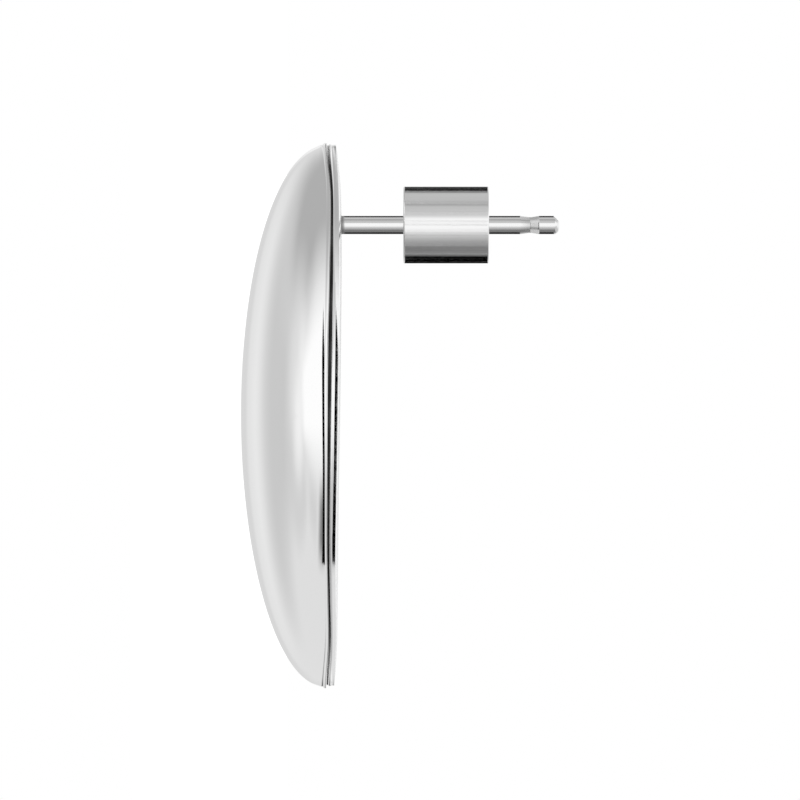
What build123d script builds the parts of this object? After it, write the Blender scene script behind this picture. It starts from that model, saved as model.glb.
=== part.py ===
from build123d import *
from math import acos, cos, radians, sin, sqrt, tan
import os

# Button earring: a hollow polished dome closed by a back plate, with an ear post and its clutch.
# It lies on its dome. The origin is the dome's lowest point, +Z runs along the post, and the
# post stands towards -X. Lengths are in millimetres and angles in degrees.

# Front dome: half an ellipse turned about Z, as a shell
dome_radius = 13.55
dome_depth = 4.3
dome_wall = 0.5

# Rim of the dome: a narrow crease that starts short of the widest plane by the lap, then a bead
# that stands proud of the dome and is narrowest at +X because the seam leans
crease_lap = 0.22
crease_width = 0.07
bead_proud = 0.12
bead_narrow = 0.155

# Open seam between the dome and the back plate
seam_gap = 0.06
seam_lean = 0.45

# Back plate: its own edge bead, a crease, and a gentle roll up to the flat back
plate_setback = 0.16
plate_thickness = 0.47
plate_bead_width = 0.22
plate_crease_width = 0.09
plate_crease_depth = 0.12
roll_width = 2.6

# Locating lip inside the dome's mouth
lip_width = 0.5
lip_depth = 0.4
lip_clearance = 0.05

# Ear post, soldered on the plate, and its slant-ground tip
post_diameter = 0.91
post_inset = 4.0
post_length = 10.9
solder_fillet = 0.1
tip_round = 0.28
facet_length = 0.42
facet_slope = 45

# Friction notch round the post
notch_depth = 0.075
notch_length = 0.95
notch_to_tip = 1.44

# Clutch: a plain barrel on the post
clutch_diameter = 3.84
clutch_length = 4.28
clutch_clearance = 0.03
clutch_round = 0.15
clutch_countersink = 0.15
lobe_room = 3.1

# Radii that follow
bead_radius = dome_radius + bead_proud
mouth_radius = dome_radius - dome_wall
plate_radius = bead_radius - plate_setback
post_offset = plate_radius - post_inset
post_radius = post_diameter / 2

# Heights that follow: the seam's are at the middle, and the post's side is higher by its lean
crease_height = dome_depth - crease_lap
bead_height = crease_height + crease_width
slope = tan(radians(seam_lean))
lean_rise = bead_radius * slope
seam_height = bead_height + bead_narrow + lean_rise + seam_gap / 2
plate_low = seam_gap / 2
plate_high = plate_low + plate_thickness
back_at_post = seam_height + plate_high + post_offset * slope
post_tip = back_at_post + post_length
notch_middle = post_tip - notch_to_tip
clutch_low = back_at_post + lobe_room
clutch_high = clutch_low + clutch_length

# Roundings that follow the walls they stand on
crease_radius = dome_radius * sqrt(1 - (crease_lap / dome_depth) ** 2)
bead_round = 0.7 * (bead_radius - crease_radius)
seam_round = 0.3 * bead_narrow
plate_bead_round = 0.7 * plate_crease_depth
roll_round = 0.4 * plate_crease_width

# Frames of the leaning seam and of the post
seam_frame = Pos(0, 0, seam_height) * Rot(0, seam_lean, 0)
post_frame = Pos(-post_offset, 0, 0)


def turned(outline, roundings, frame):
    """Solid turned about Z from an outline of radius and height, with its corners rounded first."""
    section = make_face(outline)
    for x, y, radius in roundings:
        corner = section.vertices().sort_by_distance(Vector(x, y))[0]
        section = fillet(corner, radius)
    return frame * revolve(Plane.XZ * section, axis=Axis.Z)


def bowl(half_width, depth, lap):
    """Arc of an ellipse that rises from the axis and stops short of the widest plane by a lap."""
    sweep = acos(lap / depth)
    low = dome_depth - depth
    where_tangents_meet = (half_width * tan(sweep / 2), low)
    end = (half_width * sin(sweep), dome_depth - lap)
    return Bezier((0, low), where_tangents_meet, end, weights=[1, cos(sweep / 2), 1])


def front_dome():
    """Pressed dome with the bead on its rim, open towards the back."""
    rim_top = seam_height + 2 * lean_rise
    outside = bowl(dome_radius, dome_depth, crease_lap)
    inside = bowl(mouth_radius, dome_depth - dome_wall, 0)
    rim = Polyline(
        outside @ 1,
        (crease_radius, bead_height),
        (bead_radius, bead_height),
        (bead_radius, rim_top),
        (mouth_radius, rim_top),
        inside @ 1,
    )
    outline = [outside, rim, inside, Line(inside @ 0, outside @ 0)]
    shell = turned(outline, [(bead_radius, bead_height, bead_round)], Pos())
    above_seam = Cylinder(2 * bead_radius, rim_top, align=(Align.CENTER, Align.CENTER, Align.MIN))
    shell -= seam_frame * Pos(0, 0, -seam_gap / 2) * above_seam
    seam_face = shell.faces().sort_by(Axis.Z)[-1]
    return fillet(seam_face.outer_wire().edges(), seam_round)


def plate_disc():
    """Back plate with its locating lip, edge bead, crease and rolled back, set on the seam."""
    lip_radius = mouth_radius - lip_clearance
    lip_low = plate_low - lip_depth
    roll_radius = plate_radius - plate_crease_depth
    crease_low = plate_low + plate_bead_width
    crease_high = crease_low + plate_crease_width
    edge = Polyline(
        (0, plate_high),
        (0, plate_low),
        (lip_radius - lip_width, plate_low),
        (lip_radius - lip_width, lip_low),
        (lip_radius, lip_low),
        (lip_radius, plate_low),
        (plate_radius, plate_low),
        (plate_radius, crease_low),
        (roll_radius, crease_low),
        (roll_radius, crease_high),
    )
    flat = Line((0, plate_high), (roll_radius - roll_width, plate_high))
    roll = TangentArc(flat @ 1, edge @ 1, tangent=(1, 0))
    roundings = [
        (plate_radius, plate_low, seam_round),
        (plate_radius, crease_low, plate_bead_round),
        (roll_radius, crease_high, roll_round),
    ]
    return turned([edge, flat, roll], roundings, seam_frame)


def ear_post():
    """Round post with its friction notch, rounded end and slant-ground tip."""
    root = seam_height + plate_low + plate_thickness / 2
    notch = ThreePointArc(
        (post_radius, notch_middle - notch_length / 2),
        (post_radius - notch_depth, notch_middle),
        (post_radius, notch_middle + notch_length / 2),
    )
    shank = Polyline((0, root), (post_radius, root), notch @ 0)
    end = Polyline(notch @ 1, (post_radius, post_tip), (0, post_tip), (0, root))
    post = turned([shank, notch, end], [(post_radius, post_tip, tip_round)], post_frame)
    waste = Box(post_length, post_length, post_length, align=(Align.CENTER, Align.CENTER, Align.MIN))
    facet_place = Pos(-post_radius, 0, post_tip - facet_length) * Rot(0, -facet_slope, 0)
    return post - post_frame * facet_place * waste


def back_plate_with_post():
    """Back plate and post as one soldered solid, with the solder's fillet at the root."""
    solid = plate_disc() + ear_post()
    rings = solid.edges().filter_by(GeomType.LINE, reverse=True)
    root_ring = rings.sort_by_distance(Vector(-post_offset, 0, back_at_post))[0]
    return fillet(root_ring, solder_fillet)


def clutch():
    """Barrel with rounded ends and a bore that is countersunk at both ends."""
    radius = clutch_diameter / 2
    bore_radius = post_radius + clutch_clearance
    mouth = bore_radius + clutch_countersink
    outline = Polyline(
        (bore_radius, clutch_low + clutch_countersink),
        (mouth, clutch_low),
        (radius, clutch_low),
        (radius, clutch_high),
        (mouth, clutch_high),
        (bore_radius, clutch_high - clutch_countersink),
        close=True,
    )
    roundings = [(radius, clutch_low, clutch_round), (radius, clutch_high, clutch_round)]
    return turned(outline, roundings, post_frame)


nodes = {
    "front_dome": front_dome(),
    "back_plate_with_post": back_plate_with_post(),
    "clutch": clutch(),
}
os.makedirs("parts", exist_ok=True)
for name, solid in nodes.items():
    export_step(solid, f"parts/{name}.step")
    print(f"{name}: {solid.volume:.3f} mm3")
print(f"seam {seam_height:.4f}, back at the post {back_at_post:.4f}, tip {post_tip:.4f}")
print(f"clutch from {clutch_low:.4f}, off the post after {post_tip - clutch_low:.4f}")
print(f"notch ends at {notch_middle + notch_length / 2:.4f}")
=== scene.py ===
import logging
import math
from dataclasses import dataclass
from enum import Enum
from typing import Callable, NamedTuple

import bmesh
import bpy
from mathutils import Matrix, Vector


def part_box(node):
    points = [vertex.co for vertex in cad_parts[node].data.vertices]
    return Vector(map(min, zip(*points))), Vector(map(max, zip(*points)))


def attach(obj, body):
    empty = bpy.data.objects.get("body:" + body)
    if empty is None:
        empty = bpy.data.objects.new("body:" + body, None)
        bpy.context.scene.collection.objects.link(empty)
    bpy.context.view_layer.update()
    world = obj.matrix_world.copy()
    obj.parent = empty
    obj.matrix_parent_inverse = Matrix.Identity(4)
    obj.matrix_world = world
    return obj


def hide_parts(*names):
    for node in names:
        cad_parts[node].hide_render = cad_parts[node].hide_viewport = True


# Dressed model of a polished button earring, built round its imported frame. It lies on its dome:
# +Z runs along the ear post, and the post stands towards -X. Lengths are in metres, angles in
# degrees, and tones are linear, from 0 for black to 1 for the white of the picture.

MM = 0.001

# A straight step of a profile that is longer than LONGEST_STEP gets a ring at HOLD from each end
MERGE_DISTANCE = 1e-6
LONGEST_STEP = 0.3 * MM
HOLD = 0.012 * MM

# Steps along the curves of a profile
BOWL_STEPS = 90
HOLLOW_STEPS = 60
CREASE_STEPS = 6
BEAD_STEPS = 12
CORNER_STEPS = 6
ROLL_STEPS = 24
END_STEPS = 8

# Steps round the axis
BUTTON_STEPS = 256
POST_STEPS = 96
BARREL_STEPS = 192

# Edges that turn by more than this are shaded sharp
SHARP_TURN = 40.0
SHARP_TURN_OF_BARREL = 30.0

# Middle of what a noise gives
NOISE_MIDDLE = 0.5

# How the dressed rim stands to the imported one
SEAM_LEAN = 0.45
SEAM_RISE = 0.05 * MM
BEAD_PROUD = 0.125 * MM
PLATE_PROUD = 0.03 * MM

log = logging.getLogger("button_earring")

Socket = bpy.types.NodeSocket


class Ring(NamedTuple):
    """One point of a turned profile."""

    radius: float
    height: float


class Body(Enum):
    """Moving bodies of the frame that a piece rides on."""

    BUTTON = "button"
    CLUTCH = "clutch"


class Slot(Enum):
    """Finishes of the record, which no piece here is given."""

    POLISHED_BUTTON = "polished_button"
    POLISHED_BACK = "polished_back"
    TURNED_CLUTCH = "turned_clutch"


def rounded(centre: Ring, radius: float, start: float, end: float, steps: int) -> list[Ring]:
    """Works out the rings of a round corner.

    Args:
        centre: Middle of the corner's arc.
        radius: Radius of the arc.
        start: Angle of its first ring from the outward radius, in degrees.
        end: Angle of its last ring.
        steps: Number of steps between them.

    Returns:
        The rings, first and last included.
    """
    angles = [math.radians(start + (end - start) * i / steps) for i in range(steps + 1)]
    return [Ring(centre.radius + radius * math.cos(angle), centre.height + radius * math.sin(angle))
            for angle in angles]


def swept(start: Ring, width: float, first_lean: float, last_lean: float, steps: int) -> list[Ring]:
    """Works out a band that sweeps evenly from one lean to another.

    Args:
        start: Ring where the band starts.
        width: Width of the band along the axis.
        first_lean: How far its outer side faces down at the start, in degrees.
        last_lean: How far it faces down at the end.
        steps: Number of steps along it.

    Returns:
        The rings, first and last included.
    """
    rings = [start]
    rise = width / steps
    for i in range(steps):
        lean = math.radians(first_lean + (last_lean - first_lean) * (i + 0.5) / steps)
        rings.append(Ring(rings[-1].radius + rise * math.tan(lean), rings[-1].height + rise))
    return rings


def held(profile: list[Ring]) -> list[Ring]:
    """Adds a ring near each end of every long straight step, so that corners don't shade into it.

    Args:
        profile: Rings in order along a profile.

    Returns:
        The profile with its holding rings.
    """
    rings = [profile[0]]
    for near, far in zip(profile, profile[1:]):
        length = math.dist(near, far)
        if length > LONGEST_STEP:
            for share in (HOLD / length, 1 - HOLD / length):
                rings.append(Ring(near.radius + share * (far.radius - near.radius),
                                  near.height + share * (far.height - near.height)))
        rings.append(far)
    return rings


def select_open_edges(chosen: Callable[[Vector], bool]) -> None:
    """Selects the open edges of the mesh in edit mode whose two ends pass a test of their place.

    Args:
        chosen: Test of a point's place.
    """
    bpy.ops.mesh.select_mode(type="EDGE")
    bpy.ops.mesh.select_all(action="DESELECT")
    mesh = bpy.context.object.data
    points = bmesh.from_edit_mesh(mesh)
    for edge in points.edges:
        edge.select = edge.is_boundary and all(chosen(vertex.co) for vertex in edge.verts)
    points.select_flush_mode()
    bmesh.update_edit_mesh(mesh)


@dataclass(frozen=True)
class Lathe:
    """Lathe that turns a piece from its profile about an upright axis.

    Args:
        steps: Number of steps round the axis.
        across: Place of the axis along X.
    """

    steps: int
    across: float = 0.0

    def turn(self, name: str, profile: list[Ring]) -> bpy.types.Object:
        """Turns a profile into a mesh with its place in its points.

        Args:
            name: Name of the piece.
            profile: Rings in order along the profile.

        Returns:
            The turned piece, in object mode.
        """
        profile = held(profile)
        first = profile[0]
        bpy.ops.object.select_all(action="DESELECT")
        bpy.ops.mesh.primitive_plane_add(size=MM, location=(self.across + first.radius, 0, first.height))
        piece = bpy.context.object
        piece.name = piece.data.name = name
        bpy.ops.object.mode_set(mode="EDIT")
        bpy.ops.mesh.select_all(action="SELECT")
        bpy.ops.mesh.merge(type="CENTER")
        for near, far in zip(profile, profile[1:]):
            step = (far.radius - near.radius, 0, far.height - near.height)
            bpy.ops.mesh.extrude_region_move(TRANSFORM_OT_translate={"value": step})
        bpy.ops.mesh.select_all(action="SELECT")
        bpy.ops.mesh.spin(steps=self.steps, angle=math.tau, center=(self.across, 0, 0), axis=(0, 0, 1))
        bpy.ops.mesh.select_all(action="SELECT")
        bpy.ops.mesh.remove_doubles(threshold=MERGE_DISTANCE)
        bpy.ops.mesh.normals_make_consistent(inside=False)
        bpy.ops.object.mode_set(mode="OBJECT")
        bpy.ops.object.transform_apply(location=True, rotation=True, scale=True)
        return piece


def mark(piece: bpy.types.Object, name: str, share: Callable[[Vector], float]) -> None:
    """Writes a mark on every point of a piece, for its finish to read.

    Args:
        piece: Piece to mark.
        name: Name of the mark.
        share: Strength of the mark by the point's place, which is held between 0 and 1.
    """
    points = piece.data.attributes.new(name, "FLOAT", "POINT")
    for point, vertex in zip(points.data, piece.data.vertices):
        point.value = min(1.0, max(0.0, share(vertex.co)))


def pick(*pieces: bpy.types.Object) -> None:
    """Selects these pieces alone, and makes the first one active.

    Args:
        pieces: Pieces to select.
    """
    bpy.ops.object.select_all(action="DESELECT")
    for piece in pieces:
        piece.select_set(True)
    bpy.context.view_layer.objects.active = pieces[0]


def smooth(piece: bpy.types.Object, sharpest: float) -> None:
    """Shades a piece smooth, apart from edges that turn by more than an angle in degrees."""
    pick(piece)
    bpy.ops.object.shade_smooth_by_angle(angle=math.radians(sharpest))


class Nodes:
    """Node tree that is filled one node at a time."""

    def __init__(self, tree: bpy.types.NodeTree) -> None:
        """Takes the tree to fill, and empties it."""
        self.tree = tree
        tree.nodes.clear()

    def add(self, kind: str, settings: dict | None = None, inputs: dict | None = None) -> bpy.types.Node:
        """Adds a node, sets it and links or fills its inputs.

        Args:
            kind: Type name of the node.
            settings: Properties of the node by name.
            inputs: Values or output sockets by input name or number.

        Returns:
            The new node.
        """
        node = self.tree.nodes.new(kind)
        for name, value in (settings or {}).items():
            setattr(node, name, value)
        for name, value in (inputs or {}).items():
            if isinstance(value, Socket):
                self.tree.links.new(value, node.inputs[name])
            else:
                node.inputs[name].default_value = value
        return node

    def math(self, operation: str, *values: float | Socket) -> Socket:
        """Adds a Math node and returns its output.

        Args:
            operation: Name of the operation.
            values: Numbers or output sockets, in the order of the inputs.

        Returns:
            The node's output socket.
        """
        return self.add("ShaderNodeMath", {"operation": operation}, dict(enumerate(values))).outputs[0]

    def ramp(self, value: Socket, low: float, high: float,
             to_low: float = 0.0, to_high: float = 1.0) -> Socket:
        """Adds a smooth step of a value.

        Args:
            value: Socket to read.
            low: Value where the step starts.
            high: Value where the step ends.
            to_low: Result at the start.
            to_high: Result at the end.

        Returns:
            The result's output socket.
        """
        inputs = {"Value": value, "From Min": low, "From Max": high, "To Min": to_low, "To Max": to_high}
        return self.add("ShaderNodeMapRange", {"interpolation_type": "SMOOTHSTEP"}, inputs).outputs[0]

    def noise(self, place: Socket, scale: float, detail: float, distortion: float = 0.0) -> Socket:
        """Adds a noise.

        Args:
            place: Place to read it at.
            scale: Number of its clouds along a metre, or along a unit of a stretched place.
            detail: How many finer noises are added to it.
            distortion: How much it is twisted.

        Returns:
            The noise's output socket.
        """
        inputs = {"Vector": place, "Scale": scale, "Detail": detail, "Distortion": distortion}
        return self.add("ShaderNodeTexNoise", inputs=inputs).outputs[0]

    def mix(self, share: Socket, behind: float | Socket, front: float | Socket) -> Socket:
        """Adds a mix of two values.

        Args:
            share: Share of the second value.
            behind: First value.
            front: Second value.

        Returns:
            The result's output socket.
        """
        return self.add("ShaderNodeMix", {"data_type": "FLOAT"}, {0: share, 2: behind, 3: front}).outputs[0]


@dataclass(frozen=True)
class SoftCard:
    """Soft white, grey or black card that stands round the earring.

    Args:
        name: What the card is.
        azimuth: Its middle, from the camera's side round towards the post's side.
        height: Its middle over the level of the earring, or under it where it is negative.
        half_azimuth: Half of its width.
        half_height: Half of its height.
        soft_azimuth: How far its upright edges fade.
        soft_height: How far its level edges fade.
        tone: Its tone.
    """

    name: str
    azimuth: float
    height: float
    half_azimuth: float
    half_height: float
    soft_azimuth: float
    soft_height: float
    tone: float

    def hang(self, nodes: Nodes, azimuth: Socket, height: Socket, behind: float | Socket) -> Socket:
        """Hangs the card in front of what is there.

        Args:
            nodes: Nodes of the world.
            azimuth: Azimuth of the direction.
            height: Height of the direction.
            behind: Tone behind the card.

        Returns:
            The tone with the card.
        """
        offset = nodes.math("WRAP", nodes.math("SUBTRACT", azimuth, self.azimuth), 180.0, -180.0)
        beside = nodes.ramp(nodes.math("ABSOLUTE", offset), self.half_azimuth + self.soft_azimuth / 2,
                            self.half_azimuth - self.soft_azimuth / 2)
        above = nodes.math("ABSOLUTE", nodes.math("SUBTRACT", height, self.height))
        within = nodes.ramp(above, self.half_height + self.soft_height / 2,
                            self.half_height - self.soft_height / 2)
        tone = nodes.mix(nodes.math("MULTIPLY", beside, within), behind, self.tone)
        tone.node.label = self.name
        return tone


@dataclass(frozen=True)
class TentOpening:
    """Dark opening of the tent under the camera, which narrows to a rounded point on the post's side.

    Args:
        height: Its middle line, up to the shoulder.
        end_height: Its middle line at the wide end.
        point: Azimuth of its point.
        shoulder: Azimuth where its rounded point ends.
        end: Azimuth of its wide end.
        half_shoulder: Half of its height at the shoulder.
        half_end: Half of its height at the wide end.
        edge: How far its edges fade.
        tone: Its tone.
    """

    height: float = -10.0
    end_height: float = -8.4
    point: float = 55.0
    shoulder: float = 22.0
    end: float = -66.0
    half_shoulder: float = 5.6
    half_end: float = 5.1
    edge: float = 1.2
    tone: float = 0.0

    def hang(self, nodes: Nodes, azimuth: Socket, height: Socket, behind: float | Socket) -> Socket:
        """Cuts the opening into what is there.

        Args:
            nodes: Nodes of the world.
            azimuth: Azimuth of the direction.
            height: Height of the direction.
            behind: Tone round the opening.

        Returns:
            The tone with the opening.
        """
        tip = nodes.ramp(azimuth, self.point, self.shoulder, 0.0, self.half_shoulder)
        flare = nodes.ramp(azimuth, self.shoulder, self.end, 0.0, self.half_end - self.half_shoulder)
        half = nodes.math("ADD", tip, flare)
        middle = nodes.ramp(azimuth, self.shoulder, self.end, self.height, self.end_height)
        above = nodes.math("ABSOLUTE", nodes.math("SUBTRACT", height, middle))
        inside = nodes.ramp(nodes.math("SUBTRACT", half, above), 0.0, self.edge)
        before_end = nodes.ramp(azimuth, self.end - self.edge, self.end)
        return nodes.mix(nodes.math("MULTIPLY", inside, before_end), behind, self.tone)


@dataclass(frozen=True)
class StudioSky:
    """Light tent round the earring, in tones by direction. The picture's own backdrop is plain white.

    Args:
        low_tone: Tone of the lower half where no card stands.
        low_cards: Cards of the lower half from the farthest to the nearest.
        high_tone: Tone of the upper half where no card stands.
        high_cards: Cards of the upper half from the farthest to the nearest.
        opening: Dark opening in the lower half.
        level: Height where the upper half starts.
        level_edge: How far that edge fades.
        backdrop: Tone of the picture's backdrop.
    """

    low_tone: float = 0.775
    low_cards: tuple[SoftCard, ...] = (
        SoftCard("grey_side", 115, -22, 38, 36, 40, 34, 0.45),
        SoftCard("pale_band", -115, -68, 60, 7, 40, 14, 0.675),
        SoftCard("rear_shade", 180, -50, 28, 17, 40, 20, 0.61),
        SoftCard("rear_edge", 180, -6, 14, 8, 24, 5, 0.69),
        SoftCard("rear_glint", 171, -4, 4, 3, 5, 4, 0.90),
        SoftCard("rear_gleam", 180, -24, 10, 4, 30, 14, 0.86),
        SoftCard("side_shade", -48, -42, 12, 14, 26, 18, 0.68),
        SoftCard("low_glow", 45, -76, 50, 10, 70, 24, 0.93),
        SoftCard("end_glow", 0, -90, 180, 10, 10, 16, 0.93),
        SoftCard("window", 16, -38, 37, 41, 38, 14, 1.05),
        SoftCard("dark_corner", -48, -13, 16, 6, 22, 14, 0.16),
    )
    high_tone: float = 0.58
    high_cards: tuple[SoftCard, ...] = (
        SoftCard("far_glow", 165, 40, 20, 60, 40, 30, 0.84),
        SoftCard("rear_sky", 180, 50, 30, 41.5, 30, 3, 0.98),
        SoftCard("rear_level", 180, 2, 14, 6, 10, 3, 0.82),
        SoftCard("front_glow", 14, 40, 34, 60, 40, 30, 1.00),
        SoftCard("high_side", 70, 8, 46, 16, 20, 6, 0.55),
        SoftCard("level_glow", -2, 8, 14, 16, 30, 6, 0.99),
        SoftCard("low_side", -90, 8, 37, 16, 50, 6, 0.19),
        SoftCard("floor_gap", -140, 0.6, 34, 1.7, 14, 1.6, 0.0),
        SoftCard("rail", 68, 8, 6, 16, 16, 6, 0.25),
        SoftCard("high_gap", 141, 0.6, 27, 1.7, 8, 1.6, 0.015),
        SoftCard("overhead", 0, 90, 180, 24, 10, 30, 0.93),
    )
    opening: TentOpening = TentOpening()
    level: float = -1.8
    level_edge: float = 1.2
    backdrop: float = 1.0

    def build(self) -> None:
        """Builds the tent as the scene's world."""
        world = bpy.data.worlds.new("light_tent")
        bpy.context.scene.world = world
        world.use_nodes = True
        nodes = Nodes(world.node_tree)
        direction = nodes.add("ShaderNodeTexCoord").outputs["Generated"]
        parts = nodes.add("ShaderNodeSeparateXYZ", inputs={0: direction})
        across = nodes.math("MULTIPLY", parts.outputs["X"], -1.0)
        nearer = nodes.math("MULTIPLY", parts.outputs["Y"], -1.0)
        azimuth = nodes.math("DEGREES", nodes.math("ARCTAN2", across, nearer))
        height = nodes.math("DEGREES", nodes.math("ARCSINE", parts.outputs["Z"]))
        low = self.low_tone
        for card in (*self.low_cards, self.opening):
            low = card.hang(nodes, azimuth, height, low)
        high = self.high_tone
        for card in self.high_cards:
            high = card.hang(nodes, azimuth, height, high)
        upper = nodes.ramp(height, self.level - self.level_edge, self.level)
        tone = nodes.mix(upper, low, high)
        seen = nodes.add("ShaderNodeLightPath").outputs["Is Camera Ray"]
        tone = nodes.mix(seen, tone, self.backdrop)
        background = nodes.add("ShaderNodeBackground", inputs={"Color": tone})
        nodes.add("ShaderNodeOutputWorld", inputs={"Surface": background.outputs[0]})


@dataclass(frozen=True)
class Stage:
    """Plain pale floor that the earring lies on.

    Args:
        half_width: Half of the floor's width.
        divisions: Number of faces along each side.
        tone: Tone of its paint.
        roughness: Roughness of its paint.
        glow: Light that it gives by itself, as a lit table does.
    """

    half_width: float = 0.45
    divisions: int = 8
    tone: float = 0.45
    roughness: float = 0.9
    glow: float = 0.84

    def build(self) -> None:
        """Lays the floor under the earring's lowest point."""
        bpy.ops.object.select_all(action="DESELECT")
        bpy.ops.mesh.primitive_grid_add(
            x_subdivisions=self.divisions, y_subdivisions=self.divisions, size=2 * self.half_width)
        floor = bpy.context.object
        floor.name = floor.data.name = "floor"
        material = bpy.data.materials.new("pale_floor")
        material.use_nodes = True
        nodes = Nodes(material.node_tree)
        surface = nodes.add("ShaderNodeBsdfPrincipled", inputs={
            "Base Color": (self.tone, self.tone, self.tone, 1), "Roughness": self.roughness,
            "Specular IOR Level": 0.0, "Emission Color": (1, 1, 1, 1), "Emission Strength": self.glow})
        nodes.add("ShaderNodeOutputMaterial", inputs={"Surface": surface.outputs[0]})
        floor.data.materials.append(material)
        floor.visible_glossy = False


@dataclass(frozen=True)
class SideCamera:
    """Long lens, square on the earring's side and turned so that the post points right.

    Args:
        lens: Focal length in millimetres.
        sensor: Width of the sensor in millimetres.
        field_width: Width of the picture at the earring.
        along: Height of the picture's middle.
        across: Place of the picture's middle along X.
        nearest: Nearest distance that it shows.
        farthest: Farthest distance that it shows.
    """

    lens: float = 1000.0
    sensor: float = 36.0
    field_width: float = 40.0 * MM
    along: float = 7.95 * MM
    across: float = -0.76 * MM
    nearest: float = 0.1
    farthest: float = 10.0

    def place(self) -> None:
        """Sets the camera up and makes it the scene's."""
        data = bpy.data.cameras.new("side_camera")
        data.lens = self.lens
        data.sensor_width = self.sensor
        data.clip_start, data.clip_end = self.nearest, self.farthest
        camera = bpy.data.objects.new("side_camera", data)
        bpy.context.scene.collection.objects.link(camera)
        distance = self.field_width * self.lens / self.sensor
        right, up, back = Vector((0, 0, 1)), Vector((-1, 0, 0)), Vector((0, -1, 0))
        turn = Matrix((right, up, back)).transposed().to_4x4()
        camera.matrix_world = Matrix.Translation((self.across, -distance, self.along)) @ turn
        bpy.context.scene.camera = camera


class Effect:
    """Surface effect that several finishes share, kept as one node group."""

    name: str
    inputs: dict[str, str]
    outputs: dict[str, str]

    def group(self) -> bpy.types.NodeTree:
        """Builds the effect's node group at its first use.

        Returns:
            The node group.
        """
        tree = bpy.data.node_groups.get(self.name)
        if tree is None:
            tree = bpy.data.node_groups.new(self.name, "ShaderNodeTree")
            for name, kind in self.inputs.items():
                tree.interface.new_socket(name, in_out="INPUT", socket_type=f"NodeSocket{kind}")
            for name, kind in self.outputs.items():
                tree.interface.new_socket(name, in_out="OUTPUT", socket_type=f"NodeSocket{kind}")
            nodes = Nodes(tree)
            self.fill(nodes, nodes.add("NodeGroupInput").outputs)
        return tree

    def fill(self, nodes: Nodes, given: bpy.types.bpy_prop_collection) -> None:
        """Fills the group with its nodes.

        Args:
            nodes: Nodes of the group.
            given: Outputs of the group's input node.
        """
        raise NotImplementedError

    def use(self, nodes: Nodes, **inputs: float | Socket) -> bpy.types.NodeOutputs:
        """Adds the effect to a material.

        Args:
            nodes: Nodes of the material.
            inputs: Values or output sockets by the name of the effect's input.

        Returns:
            The effect's outputs.
        """
        return nodes.add("ShaderNodeGroup", {"node_tree": self.group()}, inputs).outputs


class PolishHaze(Effect):
    """Cloudy differences in the polish, with finer rubbing marks in them."""

    name = "polish_haze"
    inputs = {"Vector": "Vector", "Roughness": "Float", "Haze": "Float"}
    outputs = {"Roughness": "Float", "Base Color": "Color"}
    cloud_scale = 210.0
    mark_scale = 1900.0
    cloud_share = 0.7
    roughness_change = 4.0
    tone = 0.94
    tone_change = 0.05

    def fill(self, nodes: Nodes, given: bpy.types.bpy_prop_collection) -> None:
        """Fills the group: broad clouds of about 5 mm and rubbing marks of about 0.5 mm.

        Args:
            nodes: Nodes of the group.
            given: Outputs of the group's input node.
        """
        clouds = nodes.noise(given["Vector"], self.cloud_scale, detail=3.0)
        marks = nodes.noise(given["Vector"], self.mark_scale, detail=2.0, distortion=1.5)
        both = nodes.math("ADD", nodes.math("MULTIPLY", clouds, self.cloud_share),
                          nodes.math("MULTIPLY", marks, 1 - self.cloud_share))
        change = nodes.math("MULTIPLY", nodes.math("SUBTRACT", both, NOISE_MIDDLE), given["Haze"])
        factor = nodes.math("ADD", 1.0, nodes.math("MULTIPLY", change, self.roughness_change))
        roughness = nodes.math("MULTIPLY", given["Roughness"], factor)
        tone = nodes.math("SUBTRACT", self.tone, nodes.math("MULTIPLY", change, self.tone_change))
        colour = nodes.add("ShaderNodeCombineColor", inputs={0: tone, 1: tone, 2: tone}).outputs[0]
        nodes.add("NodeGroupOutput", inputs={"Roughness": roughness, "Base Color": colour})


class HairMarks(Effect):
    """Hair-fine marks of handling, in three directions."""

    name = "hair_marks"
    inputs = {"Vector": "Vector", "Amount": "Float"}
    outputs = {"Bump Height": "Float"}
    turns_and_scales = ((0.4, 2600.0), (1.7, 3100.0), (2.6, 2200.0))
    tilt = 0.7
    scale_along = 90.0
    half_line = 0.012

    def fill(self, nodes: Nodes, given: bpy.types.bpy_prop_collection) -> None:
        """Fills the group: each direction is a noise stretched along it and cut to thin lines.

        Args:
            nodes: Nodes of the group.
            given: Outputs of the group's input node.
        """
        lines = []
        for turn, across in self.turns_and_scales:
            stretched = nodes.add("ShaderNodeMapping", inputs={
                "Vector": given["Vector"], "Rotation": (turn, self.tilt * turn, turn),
                "Scale": (across, self.scale_along, across)})
            noise = nodes.noise(stretched.outputs[0], 1.0, detail=1.0)
            off_middle = nodes.math("ABSOLUTE", nodes.math("SUBTRACT", noise, NOISE_MIDDLE))
            lines.append(nodes.ramp(off_middle, self.half_line, 0.0))
        deepest = nodes.math("MAXIMUM", nodes.math("MAXIMUM", lines[0], lines[1]), lines[2])
        nodes.add("NodeGroupOutput", inputs={"Bump Height": nodes.math("MULTIPLY", deepest, given["Amount"])})


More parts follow.
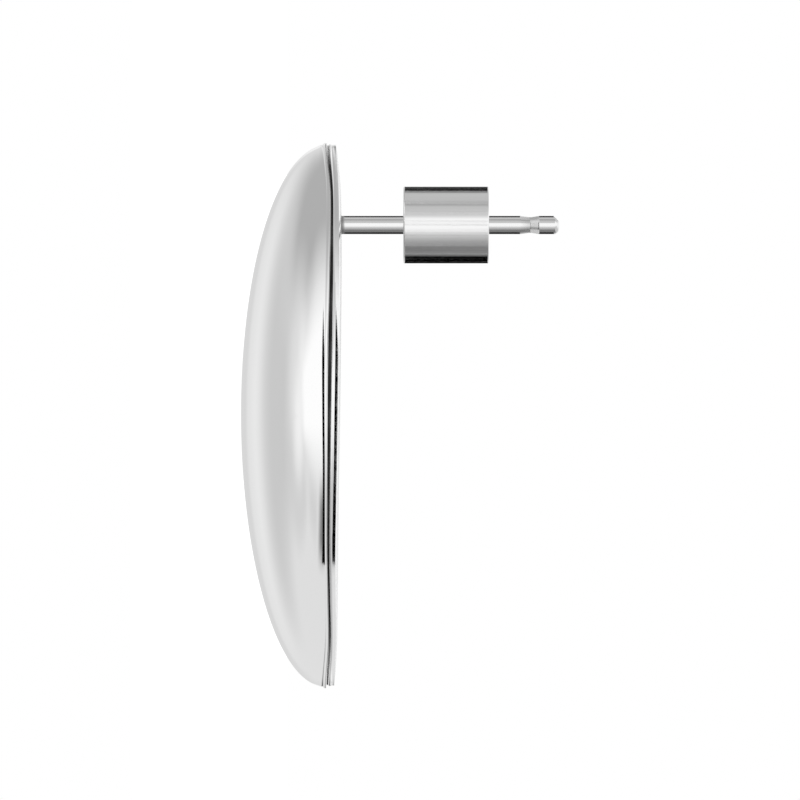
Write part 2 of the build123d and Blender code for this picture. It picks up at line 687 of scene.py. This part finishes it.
class WorkingLines(Effect):
    """Lines that a tool leaves in the metal, which blur its polish too."""

    inputs = {"Vector": "Vector", "Amount": "Float"}
    outputs = {"Bump Height": "Float", "Roughness": "Float"}
    roughness_share: float

    def give(self, nodes: Nodes, given: bpy.types.bpy_prop_collection, lines: Socket) -> None:
        """Sets the group's outputs.

        Args:
            nodes: Nodes of the group.
            given: Outputs of the group's input node.
            lines: Noise that the lines are made of.
        """
        level = nodes.math("MULTIPLY", nodes.math("SUBTRACT", lines, NOISE_MIDDLE), given["Amount"])
        nodes.add("NodeGroupOutput", inputs={
            "Bump Height": level, "Roughness": nodes.math("MULTIPLY", level, self.roughness_share)})


class DrawnLines(WorkingLines):
    """Lines along Z that a drawing die or a belt leaves on wire and tube."""

    name = "drawn_lines"
    coarse_and_fine_scales = ((2600.0, 12.0), (11000.0, 45.0))
    coarse_share = 0.75
    roughness_share = 0.08

    def fill(self, nodes: Nodes, given: bpy.types.bpy_prop_collection) -> None:
        """Fills the group: coarse lines of about 0.4 mm and fine ones of about 0.1 mm.

        Args:
            nodes: Nodes of the group.
            given: Outputs of the group's input node.
        """
        heights = []
        for across, along in self.coarse_and_fine_scales:
            stretched = nodes.add("ShaderNodeMapping", inputs={
                "Vector": given["Vector"], "Scale": (across, across, along)})
            heights.append(nodes.noise(stretched.outputs[0], 1.0, detail=2.0))
        both = nodes.math("ADD", nodes.math("MULTIPLY", heights[0], self.coarse_share),
                          nodes.math("MULTIPLY", heights[1], 1 - self.coarse_share))
        self.give(nodes, given, both)


class LapLines(WorkingLines):
    """Rings round the Z axis that a polishing wheel leaves on turned work."""

    name = "lap_lines"
    scale = 5200.0
    scale_round = 1.3
    roughness_share = 0.06

    def fill(self, nodes: Nodes, given: bpy.types.bpy_prop_collection) -> None:
        """Fills the group: rings by the distance from the axis, broken up along the way round.

        Args:
            nodes: Nodes of the group.
            given: Outputs of the group's input node.
        """
        parts = nodes.add("ShaderNodeSeparateXYZ", inputs={0: given["Vector"]}).outputs
        square = nodes.math("ADD", nodes.math("POWER", parts[0], 2.0), nodes.math("POWER", parts[1], 2.0))
        outwards = nodes.math("MULTIPLY", nodes.math("SQRT", square), self.scale)
        along = nodes.math("MULTIPLY", parts[2], self.scale)
        around = nodes.math("MULTIPLY", nodes.math("ARCTAN2", parts[1], parts[0]), self.scale_round)
        place = nodes.add("ShaderNodeCombineXYZ", inputs={0: outwards, 1: along, 2: around}).outputs[0]
        self.give(nodes, given, nodes.noise(place, 1.0, detail=2.0))


class SeamTarnishAndPaintedShade(Effect):
    """Dark tarnish and old polish where a cloth doesn't reach, with painted shade of the seam, the notch and
    the post's foot mixed into the same darkening.
    """

    name = "seam_tarnish_and_painted_shade"
    inputs = {"Vector": "Vector", "Share": "Float", "Base Color": "Color", "Roughness": "Float"}
    outputs = {"Base Color": "Color", "Roughness": "Float", "Metallic": "Float"}
    scale = 520.0
    thin_from = 0.6
    thin_to = 0.25
    thinnest = 0.92
    colour = (0.012, 0.011, 0.010, 1)
    roughness = 0.55
    dulling = 0.7

    def fill(self, nodes: Nodes, given: bpy.types.bpy_prop_collection) -> None:
        """Fills the group: the tarnish and painted shade thicken and thin along their way.

        Args:
            nodes: Nodes of the group.
            given: Outputs of the group's input node.
        """
        broken = nodes.noise(given["Vector"], self.scale, detail=3.0)
        thick = nodes.ramp(broken, self.thin_to, self.thin_from, self.thinnest, 1.0)
        share = nodes.math("MULTIPLY", given["Share"], thick)
        # Painted shade and tarnish: the mark darkens the metal's colour, roughens it and dulls it
        colour = nodes.add("ShaderNodeMix", {"data_type": "RGBA"}, {
            0: share, 6: given["Base Color"], 7: self.colour}).outputs[2]
        roughness = nodes.mix(share, given["Roughness"], self.roughness)
        metallic = nodes.math("SUBTRACT", 1.0, nodes.math("MULTIPLY", share, self.dulling))
        nodes.add("NodeGroupOutput", inputs={
            "Base Color": colour, "Roughness": roughness, "Metallic": metallic})


@dataclass(frozen=True)
class PolishedMetal:
    """Polished white metal with its working marks.

    Args:
        name: Name of the finish.
        roughness: How blurred its reflections are.
        haze: How uneven its polish is.
        hair: How strongly handling has marked it.
        lines: Working lines that it carries.
        line_amount: How strong those lines are.
        bump_distance: Depth that a full mark stands for.
    """

    name: str
    roughness: float
    haze: float = 0.3
    hair: float = 0.25
    lines: WorkingLines | None = None
    line_amount: float = 1.0
    bump_distance: float = 0.0004 * MM

    def surface(self, nodes: Nodes, place: Socket) -> tuple[Socket, ...]:
        """Adds the finish's own nodes.

        Args:
            nodes: Nodes of the material.
            place: Place on the piece.

        Returns:
            Base colour, roughness and mark height.
        """
        haze = PolishHaze().use(nodes, Vector=place, Roughness=self.roughness, Haze=self.haze)
        height = HairMarks().use(nodes, Vector=place, Amount=-self.hair)["Bump Height"]
        roughness = haze["Roughness"]
        if self.lines is not None:
            lines = self.lines.use(nodes, Vector=place, Amount=self.line_amount)
            height = nodes.math("ADD", height, lines["Bump Height"])
            roughness = nodes.math("ADD", roughness, lines["Roughness"])
        return haze["Base Color"], roughness, height

    def material(self) -> bpy.types.Material:
        """Builds the finish.

        Returns:
            Its material.
        """
        material = bpy.data.materials.new(self.name)
        material.use_nodes = True
        nodes = Nodes(material.node_tree)
        place = nodes.add("ShaderNodeTexCoord").outputs["Object"]
        colour, roughness, height = self.surface(nodes, place)
        # Reads the mark of tarnish and painted shade in the seam, the notch and at the post's foot
        share = nodes.add("ShaderNodeAttribute", {"attribute_name": "tarnish_and_painted_shade"}).outputs["Fac"]
        given = {"Vector": place, "Share": share, "Base Color": colour, "Roughness": roughness}
        tarnish_and_painted_shade = SeamTarnishAndPaintedShade().use(nodes, **given)
        bump = nodes.add("ShaderNodeBump", inputs={"Height": height, "Distance": self.bump_distance})
        metal = nodes.add("ShaderNodeBsdfPrincipled", inputs={
            "Base Color": tarnish_and_painted_shade["Base Color"], "Metallic": tarnish_and_painted_shade["Metallic"],
            "Roughness": tarnish_and_painted_shade["Roughness"], "Normal": bump.outputs[0]})
        nodes.add("ShaderNodeOutputMaterial", inputs={"Surface": metal.outputs[0]})
        return material


@dataclass(frozen=True)
class RubbedMetal(PolishedMetal):
    """Polished metal whose flat back is rubbed on a disc instead, as its "rubbed" mark tells.

    Args:
        rubbed_roughness: Roughness that the disc adds.
        rubbed_amount: How strong the disc's rings are.
    """

    rubbed_roughness: float = 0.14
    rubbed_amount: float = 6.0

    def surface(self, nodes: Nodes, place: Socket) -> tuple[Socket, ...]:
        """Adds the finish's own nodes, with the disc's rings where the metal is rubbed.

        Args:
            nodes: Nodes of the material.
            place: Place on the piece.

        Returns:
            Base colour, roughness and mark height.
        """
        colour, roughness, height = super().surface(nodes, place)
        rubbed = nodes.add("ShaderNodeAttribute", {"attribute_name": "rubbed"}).outputs["Fac"]
        rings = LapLines().use(nodes, Vector=place, Amount=self.rubbed_amount)
        change = nodes.math("ADD", self.rubbed_roughness, rings["Roughness"])
        roughness = nodes.math("ADD", roughness, nodes.math("MULTIPLY", rubbed, change))
        height = nodes.mix(rubbed, height, rings["Bump Height"])
        return colour, roughness, height


@dataclass(frozen=True)
class FitLattice:
    """Lattice that gives turned pieces the slight lean and waviness of a rim fitted by hand.

    Args:
        name: What it fits.
        low: Height of its lowest layer.
        high: Height of its highest layer.
        half_width: Half of its width.
        rises: Rise of each layer in millimetres, from the lowest up, at even steps from -X to +X.
        shifts: Shift of each layer along X in millimetres.
    """

    name: str
    low: float
    high: float
    half_width: float
    rises: tuple[tuple[float, ...], ...]
    shifts: tuple[float, ...]

    def apply(self, piece: bpy.types.Object) -> None:
        """Shapes a piece with the lattice.

        Args:
            piece: Piece to shape.
        """
        bpy.ops.object.select_all(action="DESELECT")
        bpy.ops.object.add(type="LATTICE", location=(0, 0, (self.low + self.high) / 2))
        cage = bpy.context.object
        cage.name = cage.data.name = self.name
        cage.scale = (2 * self.half_width, 2 * self.half_width, self.high - self.low)
        bpy.context.view_layer.update()
        cage.data.points_u, cage.data.points_v, cage.data.points_w = len(self.rises[0]), 2, len(self.rises)
        for way in "uvw":
            setattr(cage.data, f"interpolation_type_{way}", "KEY_CATMULL_ROM")
        columns = [(layer, across) for layer in range(len(self.rises)) for _ in range(2)
                   for across in range(len(self.rises[0]))]
        for point, (layer, across) in zip(cage.data.points, columns):
            shift = Vector((self.shifts[layer] / (2 * self.half_width), 0,
                            self.rises[layer][across] / (self.high - self.low)))
            point.co_deform = point.co_deform + MM * shift
        modifier = piece.modifiers.new("fit", "LATTICE")
        modifier.object = cage
        pick(piece)
        bpy.ops.object.modifier_apply(modifier="fit")
        bpy.data.objects.remove(cage)


LEVEL_LAYER = (0.0,) * 13
RIM_FIT = FitLattice(
    name="rim_fit",
    low=3.54 * MM,
    high=5.34 * MM,
    half_width=13.6 * MM,
    rises=(
        LEVEL_LAYER,
        LEVEL_LAYER,
        (-0.13, 0.045, 0.04, 0.02, 0.0, -0.01, 0.0, 0.02, 0.025, 0.03, 0.03, 0.03, -0.11),
        (-0.11, 0.135, 0.155, 0.12, 0.065, 0.025, 0.0, -0.025, -0.04, -0.05, -0.005, 0.02, -0.14),
        (-0.19, -0.07, -0.035, 0.0, 0.015, -0.01, -0.045, -0.075, -0.12, -0.145, -0.135, -0.125, -0.20),
        (-0.11, 0.07, 0.105, 0.09, 0.05, 0.03, 0.0, -0.04, -0.075, -0.12, -0.12, -0.135, -0.245),
        LEVEL_LAYER,
    ),
    shifts=(0.0,) * 7,
)
BOWL_FIT = FitLattice(
    name="bowl_fit",
    low=0.0,
    high=4.2 * MM,
    half_width=13.6 * MM,
    rises=(LEVEL_LAYER,) * 7,
    shifts=(-0.07, -0.05, 0.0, 0.03, 0.05, 0.05, 0.02),
)


@dataclass
class SeamPlane:
    """Open seam between the dome and the back, before the rim is fitted.

    Args:
        height: Its height on the middle axis.
        gap: Width of the seam.
        corner: Rounding of the two edges that face the seam.
        dark_half: Half of the width that old polish, tarnish and painted shade darken.
        dark_spread: How much wider that is on the post's side, and narrower on the other.
        dark_fade: How far the darkening fades.
        half_width: Distance of those sides from the middle.
        lighter_from: Distance from the middle where the darkening on the post's side starts to lighten.
        lighter_share: How much lighter it gets.
        low_lighter_from: Distance from the middle where the darkening on the other side starts to lighten.
        low_lighter_share: How much lighter that gets.
    """

    height: float
    gap: float = 0.1 * MM
    corner: float = 0.03 * MM
    dark_half: float = 0.08 * MM
    dark_spread: float = 0.02 * MM
    dark_fade: float = 0.03 * MM
    half_width: float = 13.6 * MM
    lighter_from: float = 12.4 * MM
    lighter_share: float = 0.8
    low_lighter_from: float = 11.0 * MM
    low_lighter_share: float = 1.0

    def tarnish_and_painted_shade(self, place: Vector) -> float:
        """Works out how dark the seam's tarnish and painted shade are at a place.

        Args:
            place: Place on a turned piece.

        Returns:
            The darkening, from 0 or less for none to 1 for full.
        """
        # Width of the seam's painted shade and tarnish, wider on the post's side
        dark = self.dark_half - self.dark_spread * place.x / self.half_width
        within = min(1.0, 1 - (abs(place.z - self.height) - dark) / self.dark_fade)
        # The painted darkening lightens past these distances, more on the side away from the post
        start, share = self.lighter_from, self.lighter_share
        if place.x > 0:
            start, share = self.low_lighter_from, self.low_lighter_share
        lightening = max(0.0, abs(place.x) - start) / (self.half_width - start)
        return within * (1 - share * lightening)


@dataclass
class FrontDome:
    """Pressed and polished front: a hollow dome with a bead on its rim.

    Args:
        seam: Plane of the seam that the rim ends at.
        radius: Radius of the dome at its widest plane.
        depth: Depth of the dome down to its widest plane.
        fullness: How full its section is, 2 being an ellipse.
        wall: Thickness of the shell.
        crease_lap: How far short of the widest plane the crease starts.
        crease_width: Width of the crease.
        crease_lean: How far the crease's floor faces down at its start and at its end.
        bead_lean: How far the bead faces up at its foot and at the seam.
    """

    seam: SeamPlane
    radius: float
    depth: float = 4.3 * MM
    fullness: float = 2.05
    wall: float = 0.5 * MM
    crease_lap: float = 0.23 * MM
    crease_width: float = 0.15 * MM
    crease_lean: tuple[float, float] = (9.2, 2.1)
    bead_lean: tuple[float, float] = (-65.0, 24.0)

    def bowl(self, radius: float, low: float, lap: float, steps: int) -> list[Ring]:
        """Works out a full elliptical bowl from the axis to just short of its widest plane.

        Args:
            radius: Radius at the widest plane.
            low: Height of its lowest point.
            lap: How far short of the widest plane it stops.
            steps: Number of steps along it.

        Returns:
            Its rings from the axis outwards.
        """
        rise = self.depth - low
        sweep = math.acos(lap / rise)
        shares = [math.cos(sweep * i / steps) for i in range(steps + 1)]
        return [Ring(radius * math.sqrt(1 - u ** self.fullness), self.depth - rise * u) for u in shares]

    def profile(self) -> list[Ring]:
        """Works out the shell's profile.

        Returns:
            Its rings from its lowest point round the rim to the hollow's floor.
        """
        mouth_radius = self.radius - self.wall
        outside = self.bowl(self.radius, 0.0, self.crease_lap, BOWL_STEPS)
        crease = swept(outside[-1], self.crease_width, *self.crease_lean, CREASE_STEPS)
        rim = self.seam.height - self.seam.gap / 2
        corner = self.seam.corner
        foot, shoulder = self.bead_lean
        bead_width = rim - corner - crease[-1].height
        bead = swept(crease[-1], bead_width, -foot, -shoulder, BEAD_STEPS)
        bead_high = Ring(bead[-1].radius - corner * math.cos(math.radians(shoulder)),
                         bead[-1].height - corner * math.sin(math.radians(shoulder)))
        inside = self.bowl(mouth_radius, self.wall, 0.0, HOLLOW_STEPS)
        return (
            outside
            + crease[1:]
            + bead[1:-1]
            + rounded(bead_high, corner, shoulder, 90, CORNER_STEPS)
            + [Ring(mouth_radius, bead_high.height + corner)]
            + inside[::-1]
        )

    def build(self) -> bpy.types.Object:
        """Turns the shell, fits its rim to the seam and smooths it.

        Returns:
            The finished piece.
        """
        dome = Lathe(BUTTON_STEPS).turn("polished_dome", self.profile())
        # Marks the seam's tarnish and painted shade for the finish to darken
        mark(dome, "tarnish_and_painted_shade", self.seam.tarnish_and_painted_shade)
        RIM_FIT.apply(dome)
        BOWL_FIT.apply(dome)
        smooth(dome, SHARP_TURN)
        finish = PolishedMetal("mirror_polish", roughness=0.05, lines=LapLines(), line_amount=0.4)
        dome.data.materials.append(finish.material())
        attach(dome, Body.BUTTON.value)
        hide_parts("front_dome")
        return dome


@dataclass
class EarPost:
    """Drawn round post with its solder foot, friction notch, rounded end and slant-ground tip.

    Args:
        across: Place of its axis along X.
        tip: Height of its tip.
        radius: Radius of the wire.
        foot: Radius of the solder's fillet.
        foot_land: Width of the plate's back that is turned with the foot.
        foot_tarnish_and_painted_shade: How dark the solder's edge is, as tarnish and as painted shade in the
            corner at the post's foot.
        foot_fade: How far that fades up the post and out on the plate.
        notch_depth: Depth of the notch.
        notch_below: Length of its lower slope.
        notch_above: Length of its upper slope.
        notch_ease: Half of the length that each of its corners is eased over.
        notch_painted_shade: How dark the painted shade in the cut is, from its waist up.
        notch_to_tip: Distance from the notch's waist to the tip.
        tip_round: Rounding of the end.
        facet_length: Length of the slant-ground facet.
        facet_slope: Slope of the facet.
        facet_margin: Width of the ring that holds the facet's edge.
    """

    across: float
    tip: float
    radius: float = 0.455 * MM
    foot: float = 0.05 * MM
    foot_land: float = 0.025 * MM
    foot_tarnish_and_painted_shade: float = 0.6
    foot_fade: float = 0.12 * MM
    notch_depth: float = 0.07 * MM
    notch_below: float = 0.5 * MM
    notch_above: float = 0.43 * MM
    notch_ease: float = 0.02 * MM
    notch_painted_shade: float = 0.24
    notch_to_tip: float = 1.46 * MM
    tip_round: float = 0.28 * MM
    facet_length: float = 0.42 * MM
    facet_slope: float = 45.0
    facet_margin: float = 0.012 * MM

    def profile(self, base: float) -> list[Ring]:
        """Works out the post's profile.

        Args:
            base: Height of the plate's back.

        Returns:
            Its rings from its foot to its tip.
        """
        waist = Ring(self.radius - self.notch_depth, self.tip - self.notch_to_tip)
        low_slope = self.notch_depth / self.notch_below * self.notch_ease
        high_slope = self.notch_depth / self.notch_above * self.notch_ease
        notch = [
            Ring(self.radius, waist.height - self.notch_below - self.notch_ease),
            Ring(self.radius - low_slope, waist.height - self.notch_below + self.notch_ease),
            Ring(waist.radius + low_slope, waist.height - self.notch_ease),
            Ring(waist.radius + high_slope, waist.height + self.notch_ease),
            Ring(self.radius - high_slope, waist.height + self.notch_above - self.notch_ease),
            Ring(self.radius, waist.height + self.notch_above + self.notch_ease),
        ]
        foot_middle = Ring(self.radius + self.foot, base + self.foot)
        foot = rounded(foot_middle, self.foot, -90, -180, CORNER_STEPS)
        end_middle = Ring(self.radius - self.tip_round, self.tip - self.tip_round)
        end = rounded(end_middle, self.tip_round, 0, 90, END_STEPS)
        clean = Ring(self.radius, base + self.foot + self.foot_fade)
        return (
            [Ring(self.radius + self.foot + self.foot_land, base)]
            + foot
            + [clean]
            + notch
            + end
            + [Ring(0.0, self.tip)]
        )

    def tarnish_and_painted_shade(self, place: Vector, base: float) -> float:
        """Works out how dark the painted shade of the notch and the tarnish and painted shade at the solder
        are at a place.

        Args:
            place: Place on the post or on the plate's back.
            base: Height of the plate's back.

        Returns:
            The tarnish, from 0 or less for none to 1 for full.
        """
        # Painted shade and tarnish in the corner at the post's foot
        beside = math.hypot(place.x - self.across, place.y) - self.radius - self.foot
        above = place.z - base - self.foot
        solder = self.foot_tarnish_and_painted_shade * (1 - max(beside, above, 0.0) / self.foot_fade)
        # Painted shade over the cut, rising along its lower slope to full at the waist and held over its
        # upper slope
        over_waist = place.z - self.tip + self.notch_to_tip
        cut = min(1.0, 1 + over_waist / self.notch_below) * (over_waist < self.notch_above)
        return max(solder, self.notch_painted_shade * cut)

    def build(self, base: float) -> bpy.types.Object:
        """Turns the post from the plate's back up and grinds its tip.

        Args:
            base: Height of the plate's back.

        Returns:
            The post, open at its foot.
        """
        post = Lathe(POST_STEPS, self.across).turn("ear_post", self.profile(base))
        bpy.ops.object.mode_set(mode="EDIT")
        bpy.ops.mesh.select_all(action="SELECT")
        slope = math.radians(self.facet_slope)
        corner = Vector((self.across - self.radius, 0, self.tip - self.facet_length))
        facing = Vector((-math.sin(slope), 0, math.cos(slope)))
        bpy.ops.mesh.bisect(plane_co=corner, plane_no=facing, clear_outer=True)
        select_open_edges(lambda place: place.z > self.tip - 2 * self.facet_length)
        bpy.ops.mesh.edge_face_add()
        bpy.ops.mesh.inset(thickness=self.facet_margin)
        bpy.ops.mesh.select_mode(type="VERT")
        bpy.ops.object.mode_set(mode="OBJECT")
        return post


@dataclass
class BackPlate:
    """Closed back with its edge bead, its rolled edge and the soldered ear post, all one piece of metal.

    Args:
        seam: Plane of the seam that the plate starts at.
        plate_radius: Outer radius of the plate's bead.
        post: Ear post on the plate.
        thickness: Thickness of the plate.
        bead_width: Width of its edge bead.
        bead_lean: How far the bead faces up at the seam and at the crease.
        crease_width: Width of the crease beside the bead.
        crease_lean: How far the crease's floor faces down at its start and at its end.
        roll_width: Width of the rolled edge.
        roll_fullness: How evenly it rolls, 1 being a plain slope.
        flat_edge: Width of the flat back that is turned with the edge.
        seam_land: Depth of the seam, down to the land that nearly closes it.
        land_clearance: Gap between that land and the dome's rim.
        lip_radius: Outer radius of the locating lip inside the dome's mouth.
        lip_width: Width of the lip.
        lip_depth: Depth of the lip.
        rubbed_inset: How far inside the bead's edge the rubbed back starts.
        rubbed_fade: How far its start fades.
    """

    seam: SeamPlane
    plate_radius: float
    post: EarPost
    thickness: float = 0.43 * MM
    bead_width: float = 0.22 * MM
    bead_lean: tuple[float, float] = (-12.0, 31.0)
    crease_width: float = 0.165 * MM
    crease_lean: tuple[float, float] = (7.2, 2.4)
    roll_width: float = 0.8 * MM
    roll_fullness: float = 1.8
    flat_edge: float = 0.1 * MM
    seam_land: float = 0.045 * MM
    land_clearance: float = 0.01 * MM
    lip_radius: float = 13.0 * MM
    lip_width: float = 0.5 * MM
    lip_depth: float = 0.4 * MM
    rubbed_inset: float = 0.2 * MM
    rubbed_fade: float = 0.3 * MM

    def profile(self) -> list[Ring]:
        """Works out the plate's profile.

        Returns:
            Its rings from the middle of its inner face to the edge of the flat.
        """
        low = self.seam.height + self.seam.gap / 2
        high = low + self.thickness
        corner = self.seam.corner
        shoulder, foot = self.bead_lean
        edge_middle = Ring(self.plate_radius - corner, low + corner)
        edge = rounded(edge_middle, corner, -90, shoulder, CORNER_STEPS)
        bead_width = low + self.bead_width - edge[-1].height
        bead = swept(edge[-1], bead_width, -shoulder, -foot, BEAD_STEPS)
        crease = swept(bead[-1], self.crease_width, *self.crease_lean, CREASE_STEPS)
        land_radius = self.plate_radius - self.seam_land
        land = low - self.seam.gap + self.land_clearance
        lip_inside = self.lip_radius - self.lip_width
        flat_radius = crease[-1].radius - self.roll_width
        drop = high - crease[-1].height
        shares = [1 - i / ROLL_STEPS for i in range(1, ROLL_STEPS + 1)]
        roll = [Ring(flat_radius + self.roll_width * share, high - drop * share ** self.roll_fullness)
                for share in shares]
        return (
            [
                Ring(0.0, low),
                Ring(lip_inside, low),
                Ring(lip_inside, low - self.lip_depth),
                Ring(self.lip_radius, low - self.lip_depth),
                Ring(self.lip_radius, land),
                Ring(land_radius, land),
                Ring(land_radius, low),
            ]
            + edge
            + bead[1:]
            + crease[1:]
            + roll
            + [Ring(flat_radius - self.flat_edge, high)]
        )

    def rubbed(self, place: Vector) -> float:
        """Works out how far the disc has rubbed a place, inside the edge bead and beside the post's foot.

        Args:
            place: Place on the plate.

        Returns:
            The rubbing, from 0 or less for none to 1 or more for full.
        """
        inside = self.plate_radius - math.hypot(place.x, place.y) - self.rubbed_inset
        beside = math.hypot(place.x - self.post.across, place.y) - self.post.radius - self.post.foot
        return min(inside, beside) / self.rubbed_fade

    def build(self) -> bpy.types.Object:
        """Turns the plate, bridges its flat back to the foot of the post, and fits its rim.

        Returns:
            The finished piece.
        """
        plate = Lathe(BUTTON_STEPS).turn("polished_back_with_post", self.profile())
        base = self.seam.height + self.seam.gap / 2 + self.thickness
        post = self.post.build(base)
        pick(plate, post)
        bpy.ops.object.join()
        bpy.ops.object.mode_set(mode="EDIT")
        select_open_edges(lambda place: True)
        bpy.ops.mesh.bridge_edge_loops()
        bpy.ops.mesh.select_all(action="SELECT")
        bpy.ops.mesh.normals_make_consistent(inside=False)
        bpy.ops.mesh.select_mode(type="VERT")
        bpy.ops.object.mode_set(mode="OBJECT")
        # Marks the tarnish and painted shade of the seam, the solder and the notch for the finish to darken
        mark(plate, "tarnish_and_painted_shade", lambda place: max(self.seam.tarnish_and_painted_shade(place), self.post.tarnish_and_painted_shade(place, base)))
        mark(plate, "rubbed", self.rubbed)
        RIM_FIT.apply(plate)
        smooth(plate, SHARP_TURN)
        finish = RubbedMetal("polished_back", roughness=0.085, hair=0.12, lines=DrawnLines(), line_amount=2.5)
        plate.data.materials.append(finish.material())
        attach(plate, Body.BUTTON.value)
        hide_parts("back_plate_with_post")
        return plate


@dataclass
class Clutch:
    """Turned barrel that grips the post.

    Args:
        low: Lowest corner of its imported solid.
        high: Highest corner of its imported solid.
        bore: Radius of its bore.
        countersink: Width of the countersink at each end of the bore.
        corner: Rounding of its ends.
    """

    low: Vector
    high: Vector
    bore: float = 0.485 * MM
    countersink: float = 0.15 * MM
    corner: float = 0.07 * MM

    def profile(self) -> list[Ring]:
        """Works out the barrel's profile.

        Returns:
            Its rings as a closed loop.
        """
        radius = (self.high.x - self.low.x) / 2
        mouth = self.bore + self.countersink
        start = Ring(self.bore, self.low.z + self.countersink)
        low_middle = Ring(radius - self.corner, self.low.z + self.corner)
        high_middle = Ring(radius - self.corner, self.high.z - self.corner)
        return (
            [start, Ring(mouth, self.low.z)]
            + rounded(low_middle, self.corner, -90, 0, END_STEPS)
            + rounded(high_middle, self.corner, 0, 90, END_STEPS)
            + [Ring(mouth, self.high.z), Ring(self.bore, self.high.z - self.countersink), start]
        )

    def build(self) -> bpy.types.Object:
        """Turns the barrel and dresses it.

        Returns:
            The finished piece.
        """
        across = (self.high.x + self.low.x) / 2
        barrel = Lathe(BARREL_STEPS, across).turn("clutch_barrel", self.profile())
        smooth(barrel, SHARP_TURN_OF_BARREL)
        finish = PolishedMetal("turned_barrel", roughness=0.12, lines=DrawnLines(), line_amount=14.0)
        barrel.data.materials.append(finish.material())
        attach(barrel, Body.CLUTCH.value)
        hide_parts("clutch")
        return barrel


def main() -> None:
    """Builds the scene.
    """
    StudioSky().build()
    Stage().build()
    SideCamera().place()
    bpy.context.scene.view_settings.view_transform = "Standard"
    dome_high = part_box("front_dome")[1]
    back_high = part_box("back_plate_with_post")[1]
    clutch_low, clutch_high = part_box("clutch")
    rim_lean = dome_high.x * math.tan(math.radians(SEAM_LEAN))
    seam = SeamPlane(height=dome_high.z - rim_lean + SEAM_RISE)
    post = EarPost(across=(clutch_low.x + clutch_high.x) / 2, tip=back_high.z)
    sub_assemblies = (
        FrontDome(seam=seam, radius=dome_high.x - BEAD_PROUD),
        BackPlate(seam=seam, plate_radius=back_high.y + PLATE_PROUD, post=post),
        Clutch(low=clutch_low, high=clutch_high),
    )
    for sub_assembly in sub_assemblies:
        piece = sub_assembly.build()
        log.info("%s: %d faces", piece.name, len(piece.data.polygons))


logging.basicConfig(level=logging.INFO, format="%(message)s")
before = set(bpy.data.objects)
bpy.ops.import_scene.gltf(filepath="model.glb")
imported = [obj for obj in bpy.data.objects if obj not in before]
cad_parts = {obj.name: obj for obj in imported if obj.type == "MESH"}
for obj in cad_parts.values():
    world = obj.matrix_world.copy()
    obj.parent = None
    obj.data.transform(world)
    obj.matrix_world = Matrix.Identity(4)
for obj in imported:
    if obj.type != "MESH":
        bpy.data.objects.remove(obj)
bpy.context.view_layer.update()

if __name__ == "__main__":
    main()
